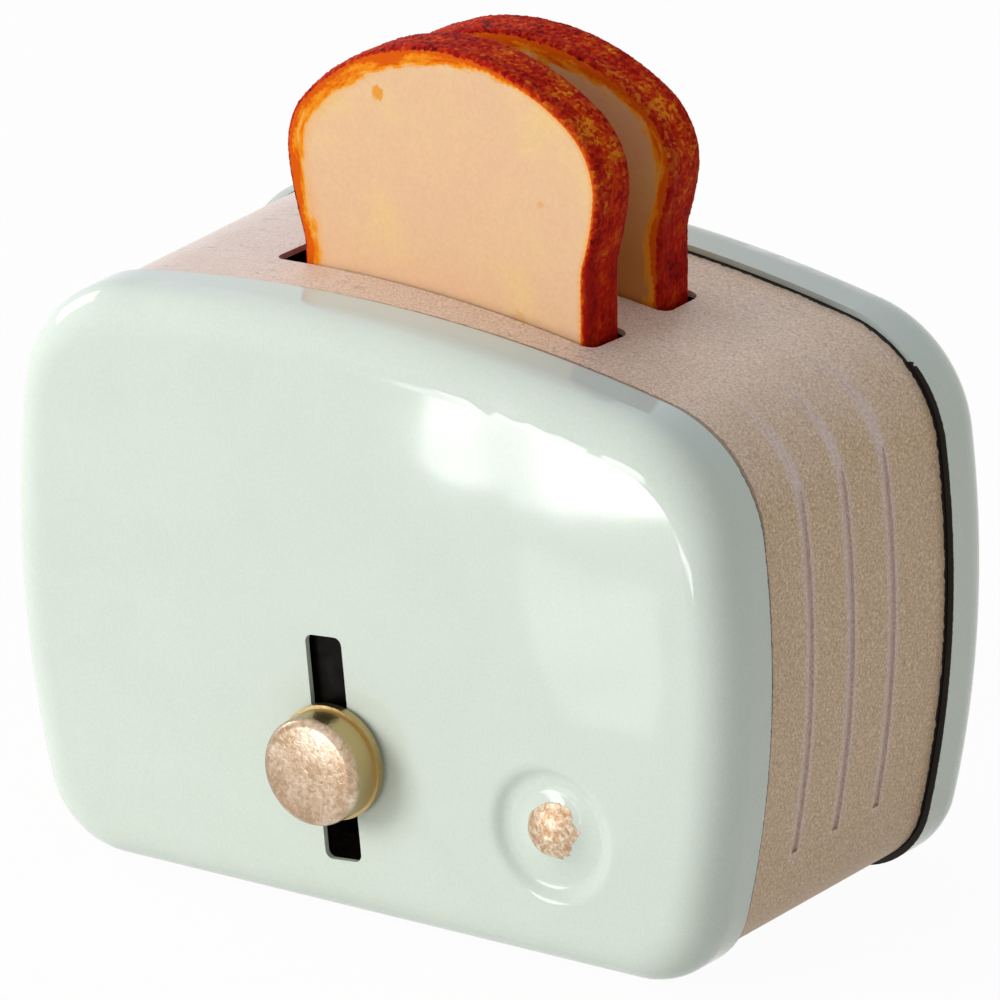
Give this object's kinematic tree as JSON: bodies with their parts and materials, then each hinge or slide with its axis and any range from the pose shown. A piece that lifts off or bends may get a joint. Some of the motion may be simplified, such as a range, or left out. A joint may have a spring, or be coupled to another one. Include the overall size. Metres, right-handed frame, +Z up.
{
  "type": "toy toaster",
  "caption": "Small toy toaster of pressed sheet metal with pan-shaped front and rear shells, a band with bread slots, a sliding lever and lift-out bread slices.",
  "frame": {"origin": "bottom centre of the overall box, on the surface the toaster stands on", "axes": "+X to the right seen from the front, +Y from the front shell to the rear shell, +Z up"},
  "size_m": [0.062, 0.0384, 0.0626],
  "materials": {
    "mint_enamel": "gloss enamel, pale mint",
    "champagne_coat": "fine sandy metallic coat, champagne bronze",
    "gold_lacquer": "brushed pale gold lacquer",
    "plated_steel": "zinc plated",
    "blackened_steel": "black oxide",
    "black_fibre": "vulcanised fibre",
    "nylon": "natural nylon",
    "bread_foam": "painted foam bread, red-brown crust"
  },
  "bodies": {
    "casing": {"front_shell": "mint_enamel", "rear_shell": "mint_enamel", "casing_band": "champagne_coat", "slot_sleeve_front": "blackened_steel", "slot_sleeve_rear": "blackened_steel", "mechanism_frame": "plated_steel", "seam_rivets": "plated_steel", "guide_rod_left": "plated_steel", "guide_rod_right": "plated_steel", "rod_nuts": "plated_steel", "tie_post_lower_left": "plated_steel", "tie_post_lower_right": "plated_steel", "tie_post_upper_left": "plated_steel", "tie_post_upper_right": "plated_steel", "rear_screws": "plated_steel"},
    "lift": {"lift_carriage": "blackened_steel", "carriage_bush_left": "nylon", "carriage_bush_right": "nylon", "lever_arm": "blackened_steel", "arm_rivets": "plated_steel", "lever_stem": "plated_steel", "friction_washer": "black_fibre", "lever_knob": "gold_lacquer"},
    "slice_front": {"bread_slice_front": "bread_foam"},
    "slice_rear": {"bread_slice_rear": "bread_foam"}
  },
  "joints": [
    {"name": "lever_slide", "type": "slide", "parent": "casing", "child": "lift", "axis": [0, 0, 1], "range_m": [-0.0062, 0.0068]},
    {"name": "slice_front_lift", "type": "slide", "parent": "lift", "child": "slice_front", "axis": [0, 0, 1], "range_m": [0, 0.022]},
    {"name": "slice_rear_lift", "type": "slide", "parent": "lift", "child": "slice_rear", "axis": [0, 0, 1], "range_m": [0, 0.022]}
  ]
}
